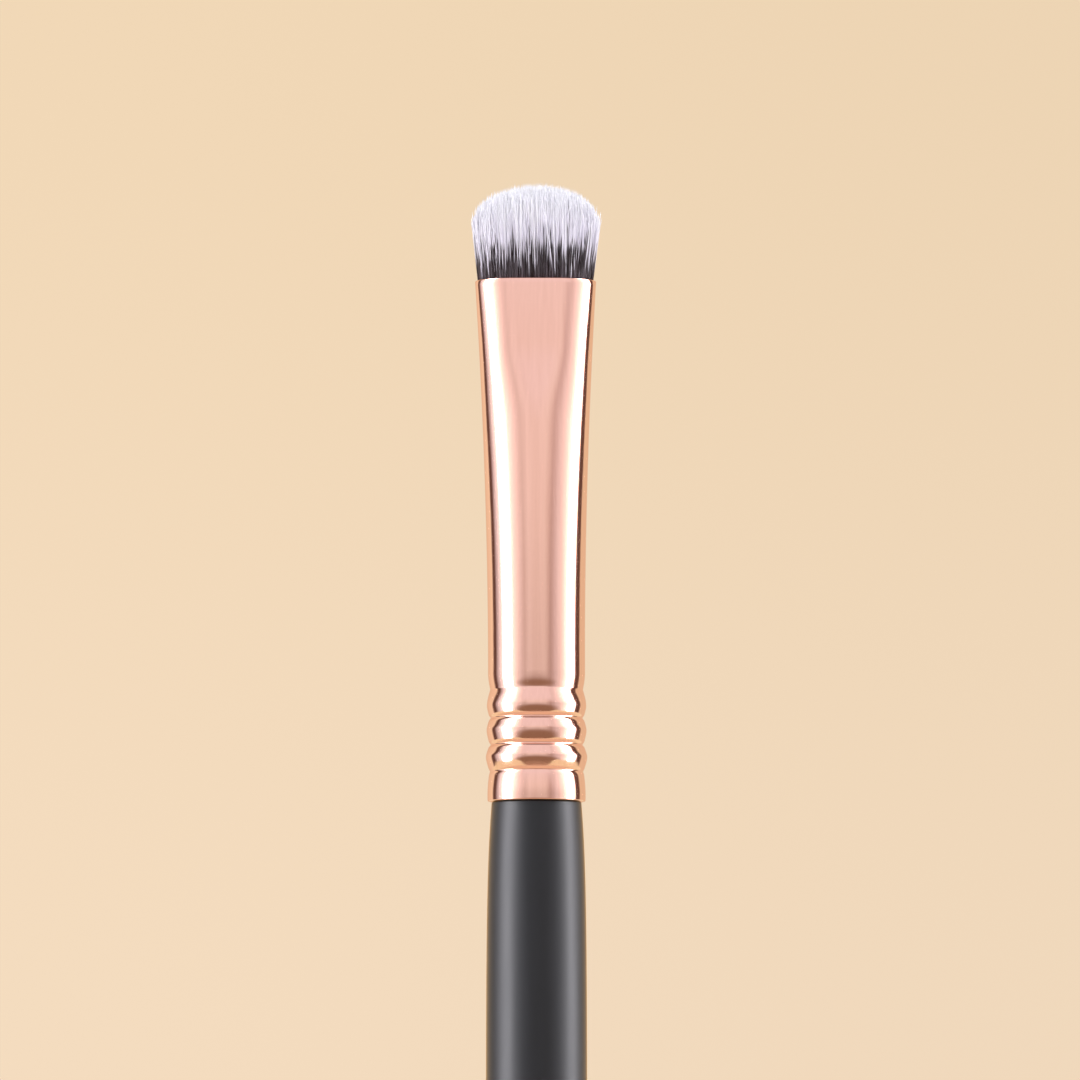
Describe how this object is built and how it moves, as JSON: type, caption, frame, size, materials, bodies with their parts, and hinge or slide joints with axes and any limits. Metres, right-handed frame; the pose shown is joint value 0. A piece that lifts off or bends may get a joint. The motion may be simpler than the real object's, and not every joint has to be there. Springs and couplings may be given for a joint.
{
  "type": "detail makeup brush",
  "caption": "Short dense domed two-tone bristle tuft in a polished ferrule pressed flat at its mouth, with rolled beads, on a slim tapered lacquered handle.",
  "frame": {"origin": "on the brush's axis at the belly of the handle, 30 mm below the ferrule's lower edge, where the fingers hold it", "axes": "+Z along the brush towards its tuft; the wide face of the ferrule's mouth looks along -Y, so +X runs across the tuft's width and +Y through its thickness"},
  "size_m": [0.0092, 0.007, 0.1754],
  "materials": {
    "lacquered_wood": "satin black lacquer",
    "wood_glue": "cured glue, cream",
    "plated_ferrule": "polished, plated pinkish copper",
    "epoxy": "cast, amber",
    "thread": "plain twisted thread",
    "filament": "fine tapered filament, pale tips over dark dyed roots"
  },
  "bodies": {
    "root": {"handle": "lacquered_wood", "tenon_adhesive": "wood_glue", "ferrule": "plated_ferrule", "root_epoxy": "epoxy", "binding_thread": "thread", "front_bristles": "filament", "core_bristles": "filament", "back_bristles": "filament"}
  },
  "joints": []
}
